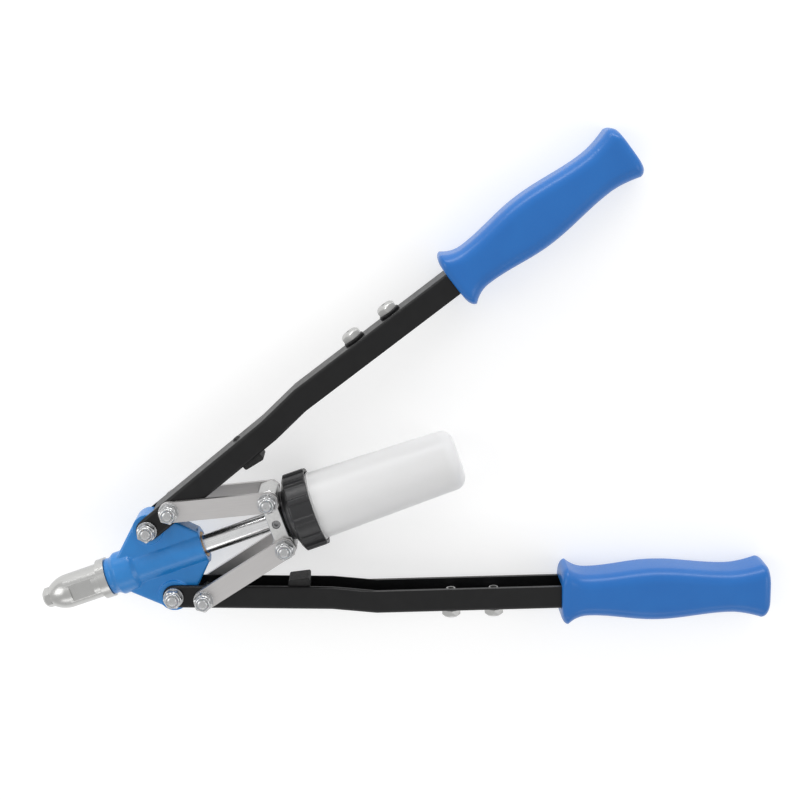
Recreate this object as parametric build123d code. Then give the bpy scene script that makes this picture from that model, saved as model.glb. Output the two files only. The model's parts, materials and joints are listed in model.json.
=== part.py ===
"""Long-arm, two-handed blind riveter, as an assembly of separate pieces.

Frame: origin at the mouth of the nosepiece, on the pull axis. +X runs back along the pull
axis to the bottle, +Y across it to the upper arm, +Z up, as the tool lies on its side.
The pieces stand as they do with the arms about half closed. Lengths are in millimetres.
"""
import math
import os

from build123d import *

# Fits and gaps
seat_gap = 0.03            # radial gap of a screwed or pressed seat
running_gap = 0.05         # radial gap of a pin or tube that turns or slides
side_gap = 0.4             # gap between flat plates that swing past each other
working_gap = 0.3          # gap between other moving pieces

# Arm pivots and the resting attitude
pivot_x = 76.7
pivot_y = 21.9
arm_angle = 20.3           # first section of the arm, from the pull axis
closed_arm_angle = 8.0     # the same, arms closed
link_pivot_distance = 18.37
link_pivot_rise = 0.7      # link pivot above the arm's centreline
crosshead_x = 150.3
crosshead_pin_y = 15.0

# Arms
channel_height = 14.0
channel_wall = 2.6
channel_bend = 2.0         # outer radius of the bends, and inner below
channel_inner_bend = 0.8
channel_front_radius = 6.8
channel_nose_end = 4.0     # where the rounded nose runs into the straight flanges
web_start = 10.7
jog_start = 95.0
jog_end = 122.0
jog_rise = 2.2
rear_turn = 2.2            # degrees that the rear section turns back inwards

# Grips, measured along the rear section of the arm
grip_start = 233.3
grip_length = 126.3
grip_side_wall = 3.0       # of plastic beside the channel
grip_front_height = 35.0
grip_front_waist = 25.4
grip_belly = 32.0
grip_rear_waist = 25.6
grip_rear_height = 32.8
grip_corner = 8.5
grip_waist_place = 16.0
grip_belly_place = 57.0
grip_rear_waist_place = 101.0
grip_rear_flare = 5.0
grip_stations = 24
grip_end_gap = 0.8         # between the channel's end and the bottom of the socket
grip_end_wall = 14.6       # from the channel's end to the grip's end

# Bumpers
bumper_place = 75.0
bumper_length = 13.0
bumper_reach = 3.8         # past the flange edge, at mid length
bumper_rivet_radius = 1.6
bumper_rivet_head_radius = 2.8
bumper_rivet_head = 1.3
bumper_rivet_grip = 4.5    # length in the rubber

# Spare nosepieces on the arms
spare_place = 167.0
spare_pitch = 26.0
spare_bores = (1.2, 1.4, 1.8, 2.1)
socket_radius = 6.6
socket_flange = 2.0
socket_sleeve_radius = 5.4
socket_sleeve = 4.2

# Nosepiece
nosepiece_hex = 11.0
nosepiece_head = 4.8
nosepiece_thread_radius = 4.0
nosepiece_shank = 9.2
nosepiece_tail = 4.0
nosepiece_tail_radius = 2.7
nosepiece_bore_radius = 1.6
nosepiece_tip_radius = 3.4
nosepiece_rim_radius = 4.4  # of the dome, just behind the tip
nosepiece_dome = 2.2       # length that the dome takes off the hexagon's corners

# Nose barrel
barrel_tip_radius = 6.05
barrel_nose = 11.7         # length of the barrel's rounded nose
barrel_wall = 2.35
barrel_length = 37.8       # nosepiece head to the housing
barrel_flat_wall = 1.1     # left under each wrench flat
barrel_flat_start = 19.0
barrel_flat_length = 14.0
flange_rim = 1.9           # past the barrel
flange_length = 5.2
spigot_wall = 1.3
spigot_length = 9.0

# Nose housing
housing_length = 61.1
housing_wall = 1.8         # around the barrel's spigot
shoulder_rise = 2.0
shoulder_start = 6.0       # from the housing's front face
shoulder_length = 10.1
ear_thickness = 18.0
ear_web_thickness = 15.0
ear_radius = 9.3
ear_front_x = 52.7
ear_front_y = 12.0
ear_rear_x = 93.2
ear_rear_y = 20.4
ear_tail_y = 9.6
ear_edge_radius = 1.6

# Draw tube and jaw case
tube_radius = 6.0
tube_bore_radius = 3.8
tube_front_x = 55.2
tube_rear_x = 171.7
case_wall = 1.57
case_front_x = 33.0
case_length = 29.2
case_mouth_radius = 3.5
cone_front_x = 34.5
cone_front_radius = 3.7
cone_half_angle = 10.0
cone_length = 11.5
bush_length = 14.0

# Jaws
jaw_front_x = 35.0
jaw_length = 9.0
jaw_bore_radius = 1.0
jaw_split = 0.7
jaw_count = 3
jaw_tooth_pitch = 1.0
jaw_tooth_depth = 0.3
jaw_teeth = 6
pusher_collar = 2.2
pusher_tail = 3.4
pusher_tail_radius = 3.7
pusher_bore_radius = 2.6
spring_wire_radius = 0.55
spring_turns = 4
spring_gap = 0.15          # inside the collar's rim

# Crosshead
crosshead_waist = 9.6
crosshead_waist_half = 9.0
crosshead_end_wall = 1.1   # around the slots
crosshead_tip_wall = 1.85
crosshead_chamfer = 3.0
open_pivot_forward = 1.5   # travel of the link pin in its slot, towards the nose
open_pivot_back = 0.5      # and towards the bottle
open_pivot_side = 0.75     # and to each side
grub_radius = 2.5
grub_socket = 2.5
grub_recess = 0.5

# Links
link_wall = 2.75           # around its pins
link_thickness = 3.0
link_chamfer = 3.2

# Fasteners
pin_radius = 3.4           # plain shoulder of the pivot bolts
thread_radius = 3.0
nut_hex = 10.0
nut_height = 6.2
nut_collar = 1.5
head_height = 4.0
washer_radius = 6.0
washer_thickness = 1.2
bolt_end = 0.9

# Bottle cap
cap_hub_radius = 15.2
cap_hub_step = 1.6
cap_hub_length = 2.5
cap_wall = 1.7
cap_cone_length = 4.2
cap_skirt_length = 13.0
cap_rib_height = 1.2
cap_rib_width = 3.4
cap_ribs = 12
cap_floor = 3.2
cap_nut_wall = 2.47
cap_nut_height = 4.5

# Bottle and its seal
bottle_front_radius = 20.3
bottle_taper = 1.9
bottle_wall = 1.3
bottle_rear_x = 265.7
bottle_corner = 7.5
bottle_thread_height = 0.8
bottle_thread_gap = 0.4
bottle_thread_pitch = 4.0
bottle_thread_rings = 2
seal_thickness = 1.5

# Worked out from the sizes above
channel_inner = ear_thickness + 2 * side_gap
channel_outer = channel_inner + 2 * channel_wall
link_inner_z = channel_outer / 2 + side_gap
link_outer_z = link_inner_z + link_thickness
crosshead_z = link_inner_z - working_gap
housing_front_x = nosepiece_head + barrel_length
housing_rear_x = housing_front_x + housing_length
case_radius = tube_radius + seat_gap + case_wall
housing_bore_radius = case_radius + working_gap
barrel_radius = housing_bore_radius + barrel_wall
barrel_flat = housing_bore_radius + barrel_flat_wall
flange_radius = barrel_radius + flange_rim
spigot_radius = housing_bore_radius + spigot_wall
housing_front_radius = spigot_radius + housing_wall
housing_shoulder_radius = housing_front_radius + shoulder_rise
channel_length = grip_start + grip_length - grip_end_wall
grip_depth = channel_outer + 2 * grip_side_wall
slot_radius = pin_radius + open_pivot_side + working_gap
slot_front = open_pivot_forward - open_pivot_side
slot_back = open_pivot_back - open_pivot_side
crosshead_end_width = 2 * (slot_front + slot_radius + crosshead_end_wall)
crosshead_half_length = crosshead_pin_y + slot_radius + crosshead_tip_wall
link_width = 2 * (pin_radius + running_gap + link_wall)
crosshead_front_x = crosshead_x - crosshead_waist / 2
crosshead_rear_x = crosshead_x + crosshead_waist / 2
cap_bore_radius = bottle_front_radius + bottle_thread_height + bottle_thread_gap
cap_cone_radius = cap_bore_radius + cap_wall
cap_nut_hex = 2 * (tube_radius + seat_gap + cap_nut_wall)
bottle_rear_radius = bottle_front_radius - bottle_taper
cap_cone_x = crosshead_rear_x + cap_hub_step + cap_hub_length - 1.0
cap_skirt_x = cap_cone_x + cap_cone_length
cap_rear_x = cap_skirt_x + cap_skirt_length
cap_floor_x = cap_cone_x + cap_floor
cone_slope = math.tan(math.radians(cone_half_angle))
collar_x = jaw_front_x + jaw_length + working_gap
collar_radius = cone_front_radius + (collar_x - cone_front_x) * cone_slope - 2 * running_gap
link_pivot = (
    pivot_x + link_pivot_distance * math.cos(math.radians(arm_angle))
    - link_pivot_rise * math.sin(math.radians(arm_angle)),
    pivot_y + link_pivot_distance * math.sin(math.radians(arm_angle))
    + link_pivot_rise * math.cos(math.radians(arm_angle)),
)
link_span = math.hypot(crosshead_x - link_pivot[0], link_pivot[1] - crosshead_pin_y)
link_angle = math.degrees(math.atan2(crosshead_pin_y - link_pivot[1], crosshead_x - link_pivot[0]))

arm_place = Location((pivot_x, pivot_y, 0), (0, 0, arm_angle))
rear_section = Location((jog_end, jog_rise, 0), (0, 0, -rear_turn))
link_place = Location((link_pivot[0], link_pivot[1], 0), (0, 0, link_angle))


def turned(*points):
    """Solid of revolution about the pull axis, from (x, radius) points."""
    return revolve(make_face(Polyline(*points, close=True)), Axis.X)


def rod(radius, start, end):
    """Round bar along the pull axis."""
    return turned((start, 0), (end, 0), (end, radius), (start, radius))


def pipe(outer, inner, start, end):
    """Round tube along the pull axis."""
    return turned((start, inner), (end, inner), (end, outer), (start, outer))


def upright(radius, x, y, low, high):
    """Round bar along Z."""
    return Pos(x, y, (low + high) / 2) * Cylinder(radius, high - low)


def slab(outline, low, high):
    """Flat outline in XY raised between two heights."""
    return extrude(Pos(0, 0, low) * outline, high - low)


def hexagon(across_flats):
    """Flat hexagon with its flats across_flats apart."""
    return RegularPolygon(across_flats / 2, 6, major_radius=False)


def lower(shape):
    """The same piece on the lower side of the tool."""
    return mirror(shape, about=Plane.XZ)


def save(name, shape):
    """Write one node."""
    export_step(shape, f"parts/{name}.step")


# Nose ----------------------------------------------------------------------------------


def make_nosepiece(bore):
    """Nosepiece along X: domed hexagonal head, threaded shank, tapered tail."""
    shank_end = nosepiece_head + nosepiece_shank
    tail_end = shank_end + nosepiece_tail
    blank = extrude(Plane.YZ * hexagon(nosepiece_hex), nosepiece_head)
    corner = nosepiece_hex / math.sqrt(3)
    dome = turned((0, 0), (nosepiece_head, 0), (nosepiece_head, corner), (nosepiece_dome, corner),
                  (0.35, nosepiece_rim_radius), (0, nosepiece_tip_radius))
    shank = turned((nosepiece_head, 0), (tail_end, 0), (tail_end, nosepiece_tail_radius),
                   (shank_end, nosepiece_thread_radius), (nosepiece_head, nosepiece_thread_radius))
    return (blank & dome) + shank - rod(bore, -1, tail_end + 1)


def make_nose_barrel():
    """Sleeve with a rounded nose, wrench flats, a flange and a threaded spigot."""
    nose_end = (nosepiece_head + barrel_nose, barrel_radius)
    nose_tip = (nosepiece_head, barrel_tip_radius)
    bore_start = nosepiece_head + nosepiece_shank
    flange_x = housing_front_x - flange_length
    spigot_end = housing_front_x + spigot_length
    profile = Polyline(nose_tip, (nosepiece_head, 0), (spigot_end, 0), (spigot_end, spigot_radius),
                       (housing_front_x, spigot_radius), (housing_front_x, flange_radius),
                       (flange_x, flange_radius), (flange_x, barrel_radius), nose_end)
    profile += TangentArc(nose_end, nose_tip, tangent=(-1, 0))
    body = revolve(make_face(profile), Axis.X)
    body -= rod(nosepiece_thread_radius + seat_gap, nosepiece_head - 1, bore_start + 1)
    body -= rod(housing_bore_radius, bore_start, spigot_end + 1)
    middle = barrel_flat_start + barrel_flat_length / 2
    for side in (-1, 1):
        block = Box(barrel_flat_length, 2 * barrel_radius, barrel_radius)
        body -= Pos(middle, 0, side * (barrel_flat + barrel_radius / 2)) * block
    return body


def make_nose_housing():
    """Casting: a barrel along the pull axis between two ears that carry the arm pivots."""
    upper_eye = Pos(pivot_x, pivot_y) * Circle(ear_radius)
    lower_eye = Pos(pivot_x, -pivot_y) * Circle(ear_radius)
    front_edge = Line((ear_front_x, -ear_front_y), (ear_front_x, ear_front_y))
    middle_edge = Line((ear_rear_x, -ear_rear_y), (ear_rear_x, ear_rear_y))
    rear_edge = Line((housing_rear_x, -ear_tail_y), (housing_rear_x, ear_tail_y))
    edges = upper_eye.edges() + lower_eye.edges() + front_edge.edges() + middle_edge.edges()
    outline = make_hull(edges + rear_edge.edges())
    web = slab(outline, -ear_web_thickness / 2, ear_web_thickness / 2)
    web = fillet(web.edges().filter_by(Plane.XY), ear_edge_radius)
    shoulder_x = housing_front_x + shoulder_start
    shoulder_end = shoulder_x + shoulder_length
    barrel = turned((housing_front_x, 0), (housing_front_x, housing_front_radius),
                    (shoulder_x - 3, housing_front_radius), (shoulder_x, housing_shoulder_radius),
                    (shoulder_end, housing_shoulder_radius), (shoulder_end + 3, housing_front_radius),
                    (housing_rear_x, housing_front_radius), (housing_rear_x, 0))
    housing = web + barrel
    for side in (-1, 1):
        housing += upright(ear_radius, pivot_x, side * pivot_y, -ear_thickness / 2, ear_thickness / 2)
    for side in (-1, 1):
        housing -= upright(pin_radius + running_gap, pivot_x, side * pivot_y, -ear_thickness, ear_thickness)
    housing -= rod(housing_bore_radius, housing_front_x - 1, housing_rear_x + 1)
    housing -= rod(spigot_radius + seat_gap, housing_front_x - 1, housing_front_x + spigot_length + 0.5)
    return housing


def make_guide_bush():
    """Bush that the draw tube slides in, flush with the housing's rear."""
    outer = housing_bore_radius - seat_gap
    return pipe(outer, tube_radius + running_gap, housing_rear_x - bush_length, housing_rear_x)


# Draw bar ------------------------------------------------------------------------------


def make_draw_tube():
    """Hollow tube that pulls the jaw case and lets broken mandrels through."""
    return pipe(tube_radius, tube_bore_radius, tube_front_x, tube_rear_x)


def make_jaw_case():
    """Case with the cone that closes the jaws."""
    case_end = case_front_x + case_length
    cone_end = cone_front_x + cone_length
    bore = tube_radius + seat_gap
    return turned((case_front_x, case_mouth_radius), (case_front_x, case_radius - 1),
                  (case_front_x + 1, case_radius), (case_end, case_radius), (case_end, bore),
                  (cone_end, bore), (cone_end, cone_front_radius + cone_length * cone_slope),
                  (cone_front_x, cone_front_radius), (cone_front_x, case_mouth_radius))


def make_jaws():
    """The split cone: one solid for each jaw, with teeth in the bore."""
    jaw_end = jaw_front_x + jaw_length
    front = cone_front_radius + (jaw_front_x - cone_front_x) * cone_slope - running_gap
    rear = cone_front_radius + (jaw_end - cone_front_x) * cone_slope - running_gap
    cone = turned((jaw_front_x, jaw_bore_radius), (jaw_end, jaw_bore_radius), (jaw_end, rear),
                  (jaw_front_x, front))
    for tooth in range(jaw_teeth):
        root = jaw_front_x + (tooth + 1) * jaw_tooth_pitch
        deep = jaw_bore_radius + jaw_tooth_depth
        cone -= turned((root, 0), (root, deep), (root + jaw_tooth_pitch * 0.7, jaw_bore_radius - 0.1),
                       (root + jaw_tooth_pitch * 0.7, 0))
    sector = 360 / jaw_count
    for cut in range(jaw_count):
        slot = Pos(jaw_front_x + jaw_length / 2, 0, rear) * Box(jaw_length + 1, jaw_split, 2 * rear)
        cone -= Rot(cut * sector + sector / 2, 0, 0) * slot
    return sorted(cone.solids(), key=lambda jaw: math.atan2(jaw.center().Z, jaw.center().Y))


def make_jaw_pusher():
    """Collar behind the jaws, with a tail inside the spring."""
    tail_x = collar_x + pusher_collar
    tail_end = tail_x + pusher_tail
    return turned((collar_x, pusher_bore_radius), (tail_end, pusher_bore_radius),
                  (tail_end, pusher_tail_radius), (tail_x, pusher_tail_radius), (tail_x, collar_radius),
                  (collar_x, collar_radius))


def make_jaw_spring():
    """Compression spring between the pusher's collar and the draw tube."""
    start = collar_x + pusher_collar + spring_wire_radius + 0.02
    end = tube_front_x - spring_wire_radius - 0.02
    coil_radius = collar_radius - spring_gap - spring_wire_radius
    coil = Helix((end - start) / spring_turns, end - start, coil_radius)
    wire = sweep(Plane(coil @ 0, z_dir=coil % 0) * Circle(spring_wire_radius), path=coil)
    return Pos(start, 0, 0) * Rot(0, 90, 0) * wire


def make_crosshead():
    """Bar across the draw tube, with a slot at each end for the link pins."""
    half_waist = crosshead_waist / 2
    half_end = crosshead_end_width / 2
    step = crosshead_waist_half + 1.5
    corner = crosshead_half_length - crosshead_chamfer
    quarter = [(half_waist, crosshead_waist_half), (half_end, step), (half_end, corner),
               (half_end - crosshead_chamfer, crosshead_half_length)]
    right = quarter + [(-x, y) for x, y in reversed(quarter)]
    left = [(-x, -y) for x, y in right]
    outline = Pos(crosshead_x, 0) * make_face(Polyline(*(right + left), close=True))
    bar = slab(outline, -crosshead_z, crosshead_z)
    bar = chamfer(bar.edges().filter_by(Plane.XY), 0.6)
    forward = crosshead_x - slot_front
    back = crosshead_x + slot_back
    for side in (-1, 1):
        y = side * crosshead_pin_y
        slot = Pos((forward + back) / 2, y) * Rectangle(abs(back - forward), 2 * slot_radius)
        slot += Pos(forward, y) * Circle(slot_radius)
        slot += Pos(back, y) * Circle(slot_radius)
        bar -= slab(slot, -crosshead_z - 1, crosshead_z + 1)
    bar -= rod(tube_radius + seat_gap, crosshead_front_x - 1, crosshead_rear_x + 1)
    bar -= upright(grub_radius + seat_gap, crosshead_x, 0, 0, crosshead_z + 1)
    return bar


def make_grub_screw():
    """Set screw that holds the crosshead on the tube."""
    low = tube_radius + seat_gap
    high = crosshead_z - grub_recess
    screw = upright(grub_radius, crosshead_x, 0, low, high)
    screw = chamfer(screw.edges().group_by(Axis.Z)[-1], 0.3)
    socket = Pos(crosshead_x, 0, high - 2) * extrude(hexagon(grub_socket), 3)
    return screw - socket


# Bottle --------------------------------------------------------------------------------


def make_bottle_cap():
    """Ribbed cap with a stepped hub, screwed on the rear of the draw tube."""
    hub_x = crosshead_rear_x + cap_hub_step
    body = turned((crosshead_rear_x, 0), (crosshead_rear_x, crosshead_waist_half - 0.5),
                  (hub_x, crosshead_waist_half - 0.5), (hub_x, cap_hub_radius),
                  (cap_cone_x, cap_hub_radius), (cap_skirt_x - 1, cap_cone_radius - 0.6),
                  (cap_skirt_x, cap_cone_radius), (cap_rear_x, cap_cone_radius), (cap_rear_x, 0))
    rib_radius = cap_cone_radius + cap_rib_height
    rib_blank = turned((cap_skirt_x - 2.4, cap_cone_radius - 3), (cap_skirt_x, rib_radius),
                       (cap_rear_x - 0.8, rib_radius), (cap_rear_x, rib_radius - 0.8),
                       (cap_rear_x, cap_cone_radius - 3))
    rib_middle = (cap_skirt_x + cap_rear_x) / 2
    for rib in range(cap_ribs):
        bar = Pos(rib_middle, 0, rib_radius) * Box(2 * cap_skirt_length, cap_rib_width, rib_radius)
        body += (Rot(rib * 360 / cap_ribs, 0, 0) * bar) & rib_blank
    body -= rod(cap_bore_radius, cap_floor_x + cap_cone_length, cap_rear_x + 1)
    body -= turned((cap_floor_x, 0), (cap_floor_x, cap_bore_radius - cap_cone_length),
                   (cap_floor_x + cap_cone_length, cap_bore_radius), (cap_floor_x + cap_cone_length, 0))
    body -= rod(tube_radius + seat_gap, crosshead_rear_x - 1, cap_floor_x + 1)
    return body


def make_cap_nut():
    """Thin nut that holds the cap on the draw tube."""
    nut = extrude(Plane.YZ.offset(cap_floor_x) * hexagon(cap_nut_hex), cap_nut_height)
    return nut - rod(tube_radius + seat_gap, cap_floor_x - 1, cap_floor_x + cap_nut_height + 1)


def make_seal_ring():
    """Flat ring between the cap and the bottle's mouth."""
    start = cap_floor_x + cap_cone_length + working_gap
    outer = bottle_front_radius + 0.6
    inner = bottle_front_radius - bottle_wall - 0.6
    return pipe(outer, inner, start, start + seal_thickness)


def make_bottle():
    """Tapered bottle with thread rings at its mouth and a rounded end."""
    mouth_x = cap_floor_x + cap_cone_length + seal_thickness + 1.5 * working_gap
    front = (mouth_x, bottle_front_radius)
    rear = (bottle_rear_x - bottle_corner, bottle_rear_radius)
    end = (bottle_rear_x, bottle_rear_radius - bottle_corner)
    slope = math.atan2(rear[1] - front[1], rear[0] - front[0])
    side = (math.cos(slope), math.sin(slope))
    corner = TangentArc(rear, end, tangent=side)
    shell = Polyline((mouth_x, 0), front, rear) + corner + Polyline(end, (bottle_rear_x, 0), (mouth_x, 0))
    body = revolve(make_face(shell), Axis.X)
    inner_front = (mouth_x - 1, bottle_front_radius - bottle_wall)
    inner_rear = (rear[0], rear[1] - bottle_wall)
    inner_end = (bottle_rear_x - bottle_wall, end[1])
    inner_corner = TangentArc(inner_rear, inner_end, tangent=side)
    hollow = Polyline((mouth_x - 1, 0), inner_front, inner_rear) + inner_corner
    hollow += Polyline(inner_end, (bottle_rear_x - bottle_wall, 0), (mouth_x - 1, 0))
    body -= revolve(make_face(hollow), Axis.X)
    for ring in range(bottle_thread_rings):
        x = mouth_x + 1.5 + ring * bottle_thread_pitch
        base = bottle_front_radius - bottle_wall / 2
        top = bottle_front_radius + bottle_thread_height
        body += turned((x, base), (x + 2.4, base), (x + 1.8, top), (x + 0.6, top))
    return body


# Arms ----------------------------------------------------------------------------------


def channel_outline(top, bottom, start, end):
    """Side outline of the arm between two offsets from its centreline."""
    turn = math.radians(rear_turn)
    reach = end - jog_end
    line = [(start, 0), (jog_start, 0), (jog_end, jog_rise)]
    line.append((jog_end + reach * math.cos(turn), jog_rise - reach * math.sin(turn)))
    above = [(x, y + top) for x, y in line]
    below = [(x, y + bottom) for x, y in reversed(line)]
    return make_face(Polyline(*(above + below), close=True))


def make_channel():
    """Pressed U channel, open towards the pull axis, rounded around its pivot."""
    half = channel_height / 2
    outline = channel_outline(half, -half, channel_nose_end, channel_length)
    outline += Circle(channel_front_radius)
    nose_edge = Line((channel_nose_end, -half), (channel_nose_end, half))
    web_edge = Line((web_start - 2, -half), (web_start - 2, half))
    outline += make_hull(Circle(channel_front_radius).edges() + nose_edge.edges() + web_edge.edges())
    body = slab(outline, -channel_outer / 2, channel_outer / 2)
    hollow = channel_outline(half - channel_wall, -half - 5, web_start, channel_length + 5)
    hollow += Pos(web_start - 15, 0) * Rectangle(30, 4 * half)
    body -= slab(hollow, -channel_inner / 2, channel_inner / 2)
    hole = pin_radius + running_gap
    body -= upright(hole, 0, 0, -channel_outer, channel_outer)
    body -= upright(hole, link_pivot_distance, link_pivot_rise, -channel_outer, channel_outer)
    rivet_axis = Pos(bumper_place, half, 0) * Rot(90, 0, 0)
    body -= rivet_axis * Cylinder(bumper_rivet_radius + seat_gap, 4 * channel_wall)
    for spare in range(2):
        body -= socket_axis(spare) * Cylinder(socket_sleeve_radius + seat_gap, 4 * channel_wall)
    body = fillet(bend_edges(body, channel_outer / 2, half), channel_bend)
    return fillet(bend_edges(body, channel_inner / 2, half - channel_wall), channel_inner_bend)


def bend_edges(body, z, offset):
    """Long edges of the channel at a height and an offset from its centreline."""
    turn = math.tan(math.radians(rear_turn))
    found = []
    for edge in body.edges():
        middle = edge @ 0.5
        line = jog_rise * min(max((middle.X - jog_start) / (jog_end - jog_start), 0), 1)
        line -= max(middle.X - jog_end, 0) * turn
        level = abs(abs(middle.Z) - z) < 0.01 and abs(middle.Y - line - offset) < 0.01
        if level and edge.length > web_start and middle.X > web_start:
            found.append(edge)
    return found


def socket_axis(spare):
    """Frame on the web's outer face under a spare nosepiece, +Z pointing out of the arm."""
    along = spare_place + spare * spare_pitch - jog_end
    return rear_section * Pos(along, channel_height / 2, 0) * Rot(-90, 0, 0)


def make_sockets():
    """Two flanged, threaded inserts in the web."""
    sockets = []
    for spare in range(2):
        flange = Pos(0, 0, socket_flange / 2) * Cylinder(socket_radius, socket_flange)
        flange = chamfer(flange.edges().group_by(Axis.Z)[-1], 0.5)
        sleeve = Pos(0, 0, -socket_sleeve / 2) * Cylinder(socket_sleeve_radius, socket_sleeve)
        bore = Cylinder(nosepiece_thread_radius + seat_gap, 4 * socket_sleeve)
        sockets.append(socket_axis(spare) * (flange + sleeve - bore))
    return Compound(children=[arm_place * socket for socket in sockets])


def make_spare(spare, bore):
    """A spare nosepiece screwed into its socket, head out."""
    head_down = Pos(0, 0, socket_flange + nosepiece_head) * Rot(0, 90, 0)
    return arm_place * socket_axis(spare) * head_down * make_nosepiece(bore)


def make_bumper():
    """Rubber block inside the arm, with a face that lies flat when the arms close."""
    half = channel_height / 2
    web_face = half - channel_wall
    face = -half - bumper_reach
    rise = bumper_length / 2 * math.tan(math.radians(closed_arm_angle))
    front = bumper_place - bumper_length / 2
    rear = bumper_place + bumper_length / 2
    outline = make_face(Polyline((front, web_face), (rear, web_face), (rear, face - rise),
                                 (front, face + rise), close=True))
    width = channel_inner / 2 - channel_inner_bend
    block = slab(outline, -width, width)
    block = fillet(block.edges().filter_by(Axis.Z).sort_by(Axis.Y)[:2], 1.2)
    hole = Pos(bumper_place, web_face, 0) * Rot(90, 0, 0)
    block -= hole * Cylinder(bumper_rivet_radius + seat_gap, 2 * (bumper_rivet_grip + 0.5))
    return block


def make_bumper_rivet():
    """Rivet with a low head outside the web, holding the bumper."""
    half = channel_height / 2
    depth = channel_wall + bumper_rivet_grip
    stem = Pos(0, 0, -depth / 2) * Cylinder(bumper_rivet_radius, depth)
    head = Cone(bumper_rivet_head_radius, bumper_rivet_head_radius * 0.6, bumper_rivet_head)
    head = Pos(0, 0, bumper_rivet_head / 2) * head
    return Pos(bumper_place, half, 0) * Rot(-90, 0, 0) * (stem + head)


def grip_height(along):
    """Height of the grip at a distance from its front, eased between its flares and waists."""
    keys = (
        (0.0, grip_front_height - 2.0),
        (2.5, grip_front_height),
        (grip_waist_place, grip_front_waist),
        (grip_belly_place, grip_belly),
        (grip_rear_waist_place, grip_rear_waist),
        (grip_length - grip_rear_flare, grip_rear_height),
        (grip_length, grip_rear_height - 6.0),
    )
    for (start, low), (end, high) in zip(keys, keys[1:]):
        if along <= end:
            share = (1 - math.cos(math.pi * (along - start) / (end - start))) / 2
            return low + (high - low) * share
    return keys[-1][1]


def make_grip():
    """Moulded grip with two flares, two waists and a belly, socketed for the channel."""
    start = grip_start - jog_end
    profiles = []
    for station in range(grip_stations + 1):
        along = grip_length * station / grip_stations
        height = grip_height(along)
        depth = grip_depth + (height - grip_front_waist) * 0.2
        plane = Plane(origin=(start + along, 0, 0), x_dir=(0, 1, 0), z_dir=(1, 0, 0))
        profiles.append(plane * RectangleRounded(height, depth, grip_corner))
    body = loft(profiles)
    pocket = channel_length - jog_end + grip_end_gap - start
    width = channel_height + 2 * seat_gap
    depth = channel_outer + 2 * seat_gap
    return rear_section * (body - Pos(start + pocket / 2 - 1, 0, 0) * Box(pocket + 2, width, depth))


# Links and fasteners -------------------------------------------------------------------


def make_link():
    """Flat link, round at the arm and chamfered at the crosshead."""
    half = link_width / 2
    outline = make_face(Polyline((0, half), (link_span + half - link_chamfer, half),
                                 (link_span + half, half - link_chamfer),
                                 (link_span + half, link_chamfer - half),
                                 (link_span + half - link_chamfer, -half), (0, -half), close=True))
    outline += Circle(half)
    outline -= Circle(pin_radius + running_gap)
    outline -= Pos(link_span, 0) * Circle(pin_radius + running_gap)
    return outline


def make_links():
    """The near and the far link of the upper arm."""
    near = link_place * slab(make_link(), link_inner_z, link_outer_z)
    far = link_place * slab(make_link(), -link_outer_z, -link_inner_z)
    return near, far


def make_bolt(grip_top):
    """Shoulder bolt along Z, head down, for a stack that reaches grip_top on both sides."""
    head = Pos(0, 0, -grip_top - head_height) * extrude(hexagon(nut_hex), head_height)
    crown = Pos(0, 0, -grip_top - head_height / 2) * Cylinder(nut_hex * 0.56, head_height)
    shoulder = upright(pin_radius, 0, 0, -grip_top, grip_top)
    tip = upright(thread_radius, 0, 0, grip_top, grip_top + washer_thickness + nut_height + bolt_end)
    tip = chamfer(tip.edges().group_by(Axis.Z)[-1], 0.5)
    return (head & crown) + shoulder + tip


def make_washer(grip_top):
    """Washer under the nut."""
    ring = Circle(washer_radius) - Circle(thread_radius + running_gap)
    return slab(ring, grip_top, grip_top + washer_thickness)


def make_nut(grip_top):
    """Lock nut with a round collar."""
    low = grip_top + washer_thickness
    body_height = nut_height - nut_collar
    body = Pos(0, 0, low) * extrude(hexagon(nut_hex), body_height)
    crown = Pos(0, 0, low + body_height / 2) * Cylinder(nut_hex * 0.56, body_height)
    collar = upright(nut_hex * 0.45, 0, 0, low + body_height, low + nut_height)
    collar = fillet(collar.edges().group_by(Axis.Z)[-1], 0.8)
    return (body & crown) + collar - upright(thread_radius + seat_gap, 0, 0, low - 1, low + nut_height + 1)


def fasteners(make, places):
    """One fastener at each (x, y, stack height, turn), as a group."""
    pieces = []
    for x, y, top, turn in places:
        pieces.append(Pos(x, y, 0) * Rot(0, 0, turn) * make(top))
    return Compound(children=pieces)


# The tool ------------------------------------------------------------------------------

os.makedirs("parts", exist_ok=True)

save("nosepiece", make_nosepiece(nosepiece_bore_radius))
save("nose_barrel", make_nose_barrel())
save("nose_housing", make_nose_housing())
save("guide_bush", make_guide_bush())
save("draw_tube", make_draw_tube())
save("jaw_case", make_jaw_case())
for number, jaw in enumerate(make_jaws()):
    save(f"jaw_{number + 1}", jaw)
save("jaw_pusher", make_jaw_pusher())
save("jaw_spring", make_jaw_spring())
save("crosshead", make_crosshead())
save("grub_screw", make_grub_screw())
save("bottle_cap", make_bottle_cap())
save("cap_nut", make_cap_nut())
save("seal_ring", make_seal_ring())
save("bottle", make_bottle())

arm_top = channel_outer / 2 + working_gap
pivot_places = [(pivot_x, pivot_y, arm_top, 12), (pivot_x, -pivot_y, arm_top, 41)]
save("pivot_bolts", fasteners(make_bolt, pivot_places))
save("pivot_washers", fasteners(make_washer, pivot_places))
save("pivot_nuts", fasteners(make_nut, pivot_places))

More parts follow.
